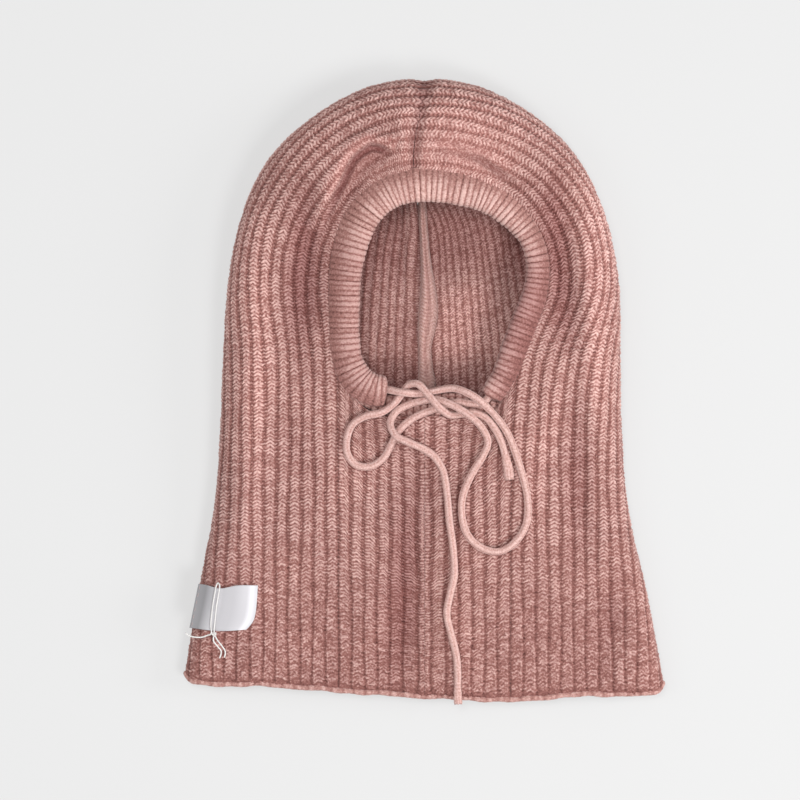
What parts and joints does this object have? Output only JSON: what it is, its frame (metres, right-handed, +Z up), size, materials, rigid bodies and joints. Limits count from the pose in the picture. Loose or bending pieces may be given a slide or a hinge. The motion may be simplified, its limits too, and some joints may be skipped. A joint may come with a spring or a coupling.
{
  "type": "knitted balaclava hood",
  "caption": "Rib-knitted balaclava hood lying flat, with a banded face opening, a tied drawstring, a flared neck and a small fold-over label.",
  "frame": {"origin": "middle of the hood's outline on the surface that it lies on", "axes": "+X to the right across the hood, +Y from the hem to the crown, +Z up out of the face opening"},
  "size_m": [0.292, 0.3796, 0.0421],
  "materials": {
    "rib_knit": "soft wool-blend fisherman's rib",
    "band_knit": "fine rib knit, folded double",
    "seam_knit": "linked and bound-off knit edge",
    "drawstring": "soft knitted round cord",
    "satin": "white woven satin",
    "thread": "white cotton thread"
  },
  "bodies": {
    "hood": {"left_side_front": "rib_knit", "left_neck_front": "rib_knit", "left_back": "rib_knit", "right_side_front": "rib_knit", "right_neck_front": "rib_knit", "right_back": "rib_knit", "crown_seam": "seam_knit", "back_seam": "seam_knit", "neck_seam": "seam_knit", "face_band": "band_knit", "band_bottom": "band_knit", "hem_edge": "seam_knit", "casing_cord": "drawstring", "cord_left": "drawstring", "cord_right": "drawstring", "short_end_tip": "drawstring", "label_tab": "satin", "label_stitches": "thread"},
    "label": {"label_flap": "satin", "tag_string": "thread"},
    "long_end": {"cord_long_end": "drawstring", "long_end_tip": "drawstring"}
  },
  "joints": [
    {"name": "label_flip", "type": "hinge", "parent": "hood", "child": "label", "pos_m": [-0.1385, -0.1425, 0.01941], "axis": [-0.2027, -0.9767, -0.0703], "range_deg": [0, 150]},
    {"name": "long_end_swing", "type": "hinge", "parent": "hood", "child": "long_end", "pos_m": [0.008, -0.042, 0.028], "axis": [0, -0.0718, 0.9974], "range_deg": [-25, 3]}
  ]
}
